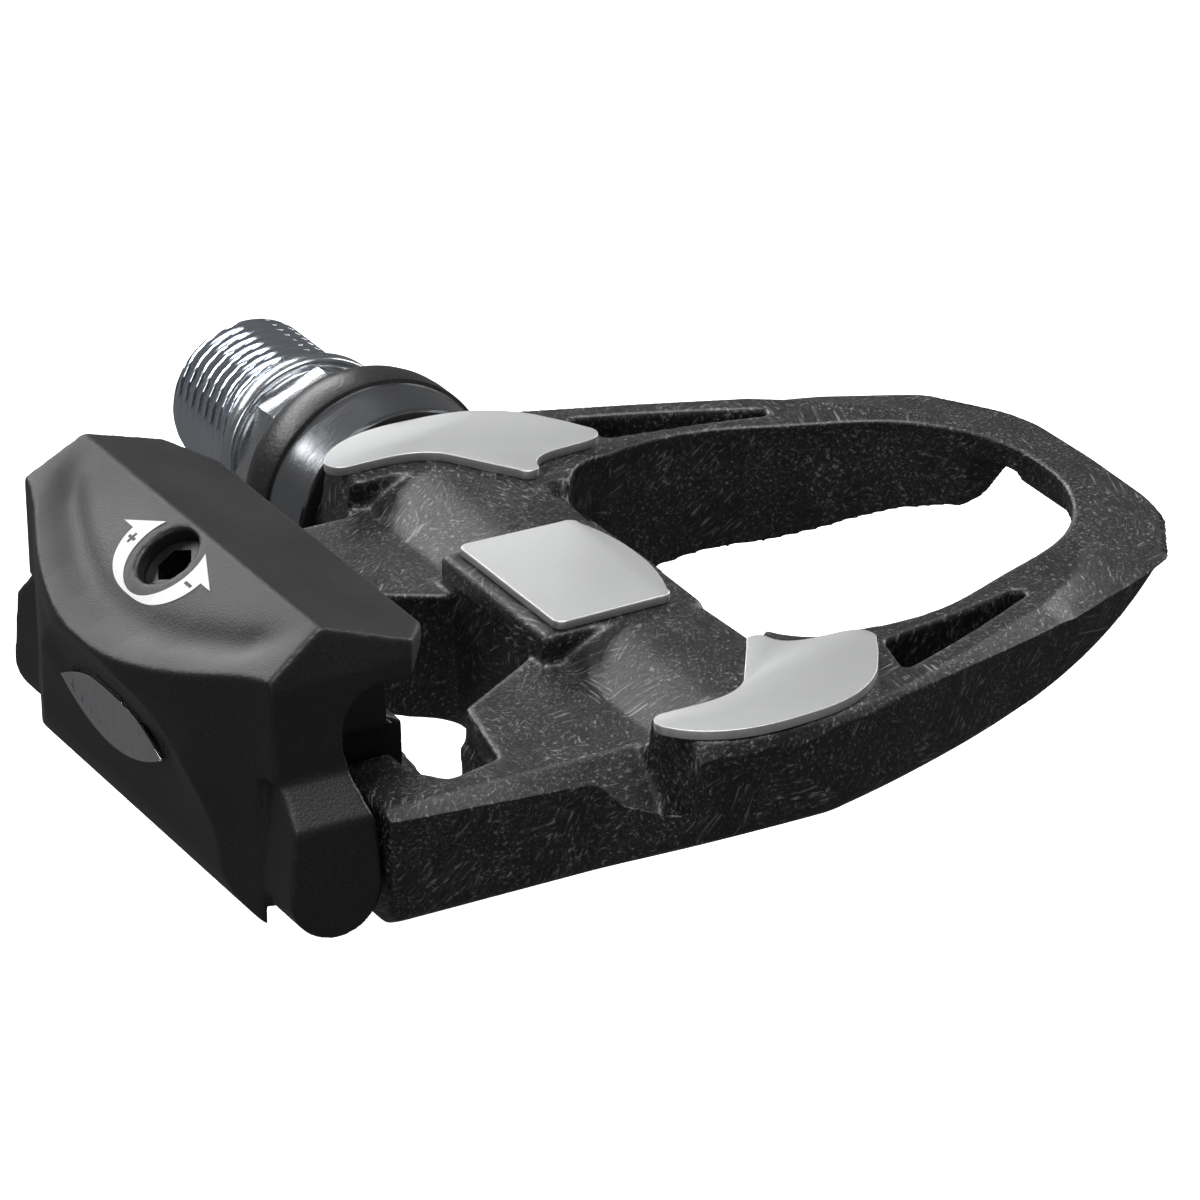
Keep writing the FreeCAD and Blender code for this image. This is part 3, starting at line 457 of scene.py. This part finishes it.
def make_spindle():
    collar = flats(8, 15.0)
    socket = flats(6, 8.0)
    rings = [(3.5, socket), (12.1, socket), (12.5, lambda a: socket(a) + 0.35)]
    rings.append((12.5, 6.1))
    y = 12.48
    while y > THREAD_START:
        rings.append((y, thread_ring(y)))
        y -= PITCH / RINGS_PER_PITCH
    rings += [(0.3, 6.9), (0.0, 6.9), (0.0, 7.85), (-0.12, 8.1), (-0.3, 8.2), (-1.5, 8.2), (-1.7, 8.1),
              (-1.8, 7.9), (-1.8, 7.35), (-1.9, 7.3), (-2.5, 7.3), (-2.6, 7.35)]
    for station, inset in ((-2.6, 0.30), (-2.72, 0.12), (-2.9, 0.02),
                           (-5.7, 0.02), (-5.88, 0.12), (-6.0, 0.3)):
        rings.append((station, lambda a, inset=inset: collar(a) - inset))
    rings += [(-6.02, 7.9), (-6.1, 8.15), (-6.3, 8.25), (-7.3, 7.7), (-7.4, 7.6), (-7.4, 5.5), (-17.8, 5.5),
              (-20.0, 5.2), (-28.0, 5.2), (-32.0, 4.2), (-55.0, 4.2), (-55.6, 3.0), (-65.2, 3.0),
              (-65.7, 2.5)]
    mesh = lathe(rings, 192)
    settle(mesh)
    mesh.materials.clear()
    obj = make_object("spindle_turned", mesh, AXLE, "axle", ["spindle"])
    obj.data.materials.append(THREAD)
    for polygon in obj.data.polygons:
        if polygon.center.y > 0.0003 and math.hypot(polygon.center.x, polygon.center.z) > 0.0058:
            polygon.material_index = 1
    edge = obj.modifiers.new("crisp", "EDGE_SPLIT")
    edge.split_angle = math.radians(38)
    return obj


make_spindle()


def make_sleeve():
    """Lock bolt: matt band with a rounded shoulder, and a polished waist next to the body."""
    rings = [(-32.0, 6.0), (-31.9, 7.2), (-31.4, 7.45), (-18.8, 7.45), (-18.65, 9.6), (-18.5, 9.95),
             (-17.0, 10.12), (-15.0, 10.32), (-14.1, 10.4), (-13.9, 10.44), (-13.7, 10.74), (-13.4, 10.8),
             (-11.6, 10.8), (-10.6, 10.72), (-9.7, 10.5), (-9.0, 10.2), (-8.4, 9.82), (-7.9, 9.45),
             (-7.55, 9.2), (-7.4, 9.05), (-7.4, 8.92), (-18.0, 8.92), (-18.0, 6.0)]
    mesh = settle(lathe(rings, 128, hollow=True))
    obj = make_object("lock_sleeve", mesh, SLEEVE, "platform", ["lock_bolt"])
    obj.data.materials.append(POLISHED)
    for polygon in obj.data.polygons:
        station = polygon.center.y / MM
        polygon.material_index = 1 if -18.6 < station < -13.95 else 0
    edge = obj.modifiers.new("crisp", "EDGE_SPLIT")
    edge.split_angle = math.radians(40)


make_sleeve()


# ------------------------------------------------------------------ platform

# Where the platform's flat top ends and its outer chamfer begins, in plan, toe first.
CREASE = [(42.4, 0.0), (41.6, 6.5), (39.0, 11.4), (36.2, 15.8), (32.0, 20.3), (27.5, 23.5), (19.1, 27.2),
          (10.1, 30.9), (3.9, 32.3), (-2.3, 32.6), (-6.2, 31.8), (-8.6, 30.4), (-9.8, 28.8), (-9.6, 26.6)]


def platform_top(x, y):
    """Height that the platform's surface may reach above a point in plan; y is from the mid-plane."""
    side = abs(y)
    top = 20.0
    beyond = -side_of((x, side), CREASE)
    if x > -8.6 and 0 < beyond < 7:
        width = between(x, (-9, 2.0), (-6, 1.3), (0, 0.8), (10, 1.1), (30, 1.7), (42, 4.6))
        drop = between(x, (-9, 4.2), (-8, 3.6), (-6.4, 2.5), (-4.2, 1.9), (0.7, 1.3), (5, 0.95), (46, 0.9))
        top = min(top, 8.6 - drop * beyond / width)
    if x < -8.0:
        drop = between(x, (-32, 0.5), (-13.5, 1.7), (-9, 1.7))
        top = min(top, 6.1 - drop * max(0.0, side - 24.3) / 1.7 + 8 * ease((x + 9.5) / 1.5))
    if 2.4 < x < 6.5 and 9.0 < side < 17.0:
        top = min(top, 8.6 - 0.9 * ((x - 2.4) / 2.8) ** 2)
    return top


def make_platform():
    mesh = remoulded("pedal_body", 0.28, 5)
    places, normals = mesh_arrays(mesh)
    for place, normal in zip(places, normals):
        x, y, z = place[0], place[1] - MID_Y, place[2]
        if z > 3.0:
            place[2] = min(z, platform_top(x, y))
        inward = normal[0] * (21.0 - x) - normal[1] * y
        if 8.0 < x < 43.5 and abs(y) < 21.0 and abs(normal[2]) < 0.4 and inward > 0 and z < 8.0:
            recess = 0.09 * (2.7 - z) if z < 2.7 else 0.05 * (z - 2.7)
            place[0] -= normal[0] * recess
            place[1] -= normal[1] * recess
    put_places(mesh, places)
    mesh = softened(softened(mesh, 2), 22, 2.0)
    settle(mesh)
    make_object("platform_moulding", mesh, COMPOSITE, "platform", ["pedal_body"])


make_platform()
for pad_name in ("inner_pad", "outer_pad", "centre_pad"):
    bevelled(pad_name.replace("pad", "wear_plate"), pad_name, 0.00016, PAD)


# ------------------------------------------------------------------ binding

RIDGE = [(0.0, -45.2), (4.5, -44.9), (9.0, -43.9), (14.0, -42.2), (18.3, -40.4), (23.0, -39.2)]


def valley(x, y):
    """Depth of the shallow hollow that runs along the rear face, just inside its rounded rim."""
    behind = x - between(abs(y), *RIDGE)
    return 0.55 * math.exp(-((behind - 3.0) / 1.5) ** 2) * ease((20.5 - abs(y)) / 5)


def make_claw():
    mesh = remoulded("rear_binding", 0.24, 6)
    places, normals = mesh_arrays(mesh)
    for place, normal in zip(places, normals):
        x, y, z = place[0], place[1] - MID_Y, place[2]
        on_face = normal[0] * UP.x + normal[2] * UP.z
        height = (x - PIVOT.x) * UP.x + (z - PIVOT.z) * UP.z
        if on_face > 0.5 and height > 14.5:
            sink = valley(x, y) * on_face
            place[0] -= UP.x * sink
            place[2] -= UP.z * sink
        if normal[0] < -0.6 and 4.0 < z < 13.0 and abs(y) < 14:
            place[0] += 0.5 * ease((13.0 - z) / 2.5) * ease((z - 4.0) / 4.0) * ease((14 - abs(y)) / 5)
    put_places(mesh, places)
    mesh = softened(mesh, 2)
    settle(mesh)
    make_object("binding_claw", mesh, BINDING, "binding", ["rear_binding"])


HOLE_ACROSS = 8.7
FACE_UP = 16.34


def on_rear_face(u, v, lift):
    """Point on the sloping rear face, u up the slope and v sideways from the bolt hole, in mm."""
    point = PIVOT + ACROSS * (HOLE_ACROSS + u) + UP * (FACE_UP + lift)
    point.y = MID_Y + v
    return point - UP * valley(point.x, v)


def printed(name, outline_pairs, lift, material):
    """Thin raised print: a strip between pairs of (inner, outer) points on the rear face."""
    bm = bmesh.new()
    layers = []
    for height in (lift - 0.12, lift):
        layers.append([[bm.verts.new(on_rear_face(u, v, height)) for u, v in pair] for pair in outline_pairs])
    low, high = layers
    for a, b in zip(range(len(high) - 1), range(1, len(high))):
        bm.faces.new((high[a][0], high[a][1], high[b][1], high[b][0]))
        bm.faces.new((low[a][0], low[b][0], low[b][1], low[a][1]))
        bm.faces.new((low[a][0], high[a][0], high[b][0], low[b][0]))
        bm.faces.new((low[a][1], low[b][1], high[b][1], high[a][1]))
    for end in (0, -1):
        bm.faces.new((low[end][0], low[end][1], high[end][1], high[end][0]))
    bmesh.ops.remove_doubles(bm, verts=bm.verts, dist=1e-4)
    bmesh.ops.recalc_face_normals(bm, faces=bm.faces)
    mesh = bpy.data.meshes.new(name)
    bm.to_mesh(mesh)
    bm.free()
    settle(mesh, smooth=False)
    return make_object(name, mesh, material, "binding")


def make_setting_marks():
    """Two crescents round the tension bolt that meet low on the face and end in arrowheads."""
    inner, widest, barb = 4.0, 6.0, 7.6
    for name, side in (("more_arrow", 1), ("less_arrow", -1)):
        tip = (inner * math.cos(math.radians(60)), inner * math.sin(math.radians(60)))
        pairs = []
        for k in range(13):
            t = k / 12
            angle = math.radians(60 + 30 * t)
            near = (inner * math.cos(angle), side * inner * math.sin(angle))
            pairs.append((near, (tip[0] * (1 - t) + 0.001, side * (tip[1] + (barb - tip[1]) * t + 0.002))))
        for k in range(37):
            t = k / 36
            angle = math.radians(90 + 90 * t)
            outer = inner + 0.25 + (widest - inner - 0.25) * math.cos(math.pi / 2 * t) ** 2
            near = (inner * math.cos(angle) - 0.01, side * inner * math.sin(angle))
            pairs.append((near, (outer * math.cos(angle) - 0.01, side * outer * math.sin(angle))))
        printed(name, pairs, 0.05, WHITE)
        middle = math.radians(98)
        u, v = 5.05 * math.cos(middle), side * 5.05 * math.sin(middle)
        printed(name + "_bar", [((u - 0.13, v - 0.5), (u + 0.13, v - 0.5)),
                                ((u - 0.13, v + 0.5), (u + 0.13, v + 0.5))], 0.09, BINDING)
        if name == "more_arrow":
            printed(name + "_post", [((u - 0.5, v - 0.13), (u - 0.5, v + 0.13)),
                                     ((u + 0.5, v - 0.13), (u + 0.5, v + 0.13))], 0.085, BINDING)


def make_badge():
    """Bright lens-shaped plate with upright ribs and a plain rim."""
    low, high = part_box("rear_badge")
    centre = (low + high) / 2
    half_y, half_z = (high.y - low.y) / 2, (high.z - low.z) / 2
    bm = bmesh.new()
    columns, rows = 72, 16
    grid = []
    for i in range(columns + 1):
        u = -1 + 2 * i / columns
        height = max(0.02, 1 - u * u)
        column = []
        for j in range(rows + 1):
            v = -1 + 2 * j / rows
            rim = max(abs(v), abs(u) ** 3)
            rib = 0.5 + 0.5 * math.cos(u * 11 * math.pi)
            lift = 0.00014 * rib if rim < 0.8 else 0.00022
            x = high.x - 0.00025 - lift
            column.append(bm.verts.new((x, centre.y + u * half_y, centre.z + v * half_z * height)))
        grid.append(column)
    for i in range(columns):
        for j in range(rows):
            bm.faces.new((grid[i][j], grid[i + 1][j], grid[i + 1][j + 1], grid[i][j + 1]))
    rim_loop = [grid[i][0] for i in range(columns + 1)]
    rim_loop += [grid[columns][j] for j in range(1, rows + 1)]
    rim_loop += [grid[i][rows] for i in range(columns - 1, -1, -1)]
    rim_loop += [grid[0][j] for j in range(rows - 1, 0, -1)]
    back = [bm.verts.new((high.x, v.co.y, v.co.z)) for v in rim_loop]
    for k in range(len(rim_loop)):
        m = (k + 1) % len(rim_loop)
        bm.faces.new((rim_loop[k], rim_loop[m], back[m], back[k]))
    bm.faces.new(back)
    bmesh.ops.recalc_face_normals(bm, faces=bm.faces)
    mesh = bpy.data.meshes.new("badge")
    bm.to_mesh(mesh)
    bm.free()
    for polygon in mesh.polygons:
        polygon.use_smooth = True
    make_object("ribbed_badge", mesh, CHROME, "binding", ["rear_badge"])


make_claw()
make_setting_marks()
make_badge()


# ------------------------------------------------------------------ floor, light and camera

def make_floor():
    low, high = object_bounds()
    bm = bmesh.new()
    bmesh.ops.create_grid(bm, x_segments=8, y_segments=8, size=6.0)
    mesh = bpy.data.meshes.new("floor")
    bm.to_mesh(mesh)
    bm.free()
    floor = bpy.data.objects.new("floor", mesh)
    bpy.context.scene.collection.objects.link(floor)
    floor.location.z = low.z - 0.03
    n = Nodes("pale_floor")
    speck = n.noise(3.0, 2.0, 0.5)
    n.bsdf.inputs["Emission Color"].default_value = (1, 1, 1, 1)
    paint(floor, n.finish(n.ramp(speck, (0.3, 0.93), (0.7, 0.96)), n.ramp(speck, (0.3, 0.88), (0.7, 0.92)),
                          Emission_Strength=0.6))
    floor.visible_diffuse = False
    floor.visible_glossy = False


def area_light(name, place, aim, size, energy, colour=(1, 1, 1)):
    data = bpy.data.lights.new(name, "AREA")
    data.shape = "RECTANGLE"
    data.size, data.size_y = size
    data.energy = energy
    data.color = colour
    light = bpy.data.objects.new(name, data)
    light.location = place
    light.rotation_euler = (Vector(aim) - Vector(place)).to_track_quat("-Z", "Y").to_euler()
    bpy.context.scene.collection.objects.link(light)


def make_camera():
    azimuth, elevation, roll = math.radians(-28.09), math.radians(25.27), math.radians(-1.136)
    distance = 613.5
    back = Vector((math.sin(azimuth) * math.cos(elevation), -math.cos(azimuth) * math.cos(elevation),
                   math.sin(elevation)))
    right = (-back).cross(Vector((0, 0, 1))).normalized()
    up = right.cross(-back)
    turned_right = math.cos(roll) * right + math.sin(roll) * up
    turned_up = -math.sin(roll) * right + math.cos(roll) * up
    target = Vector((-2.56, MID_Y, 9.42))
    place = target + 2.824 * turned_right - 2.46 * turned_up + distance * back
    data = bpy.data.cameras.new("camera")
    data.sensor_width = 36.0
    data.lens = 230.98
    data.clip_start, data.clip_end = 0.05, 50.0
    camera = bpy.data.objects.new("camera", data)
    matrix = Matrix((turned_right, turned_up, back)).transposed().to_4x4()
    matrix.translation = place * MM
    camera.matrix_world = matrix
    bpy.context.scene.collection.objects.link(camera)
    bpy.context.scene.camera = camera


make_floor()
aim_point = (0.0, MID_Y * MM, 0.0)
area_light("overhead", (0.0, MID_Y * MM, 1.6), aim_point, (1.1, 1.1), 27.0)
area_light("back_strip", (-0.15, 0.85, 0.42), aim_point, (0.9, 0.16), 5.0)
area_light("toe_strip", (0.8, 0.25, 0.35), aim_point, (0.16, 0.6), 2.6)
area_light("heel_fill", (-0.8, -0.55, 0.35), aim_point, (0.5, 0.35), 1.6, (0.97, 0.98, 1.0))
make_camera()

world = bpy.data.worlds.new("studio")
world.use_nodes = True
world.node_tree.nodes["Background"].inputs["Color"].default_value = (1, 1, 1, 1)
world.node_tree.nodes["Background"].inputs["Strength"].default_value = 0.13
bpy.context.scene.world = world
bpy.context.scene.view_settings.view_transform = "Standard"
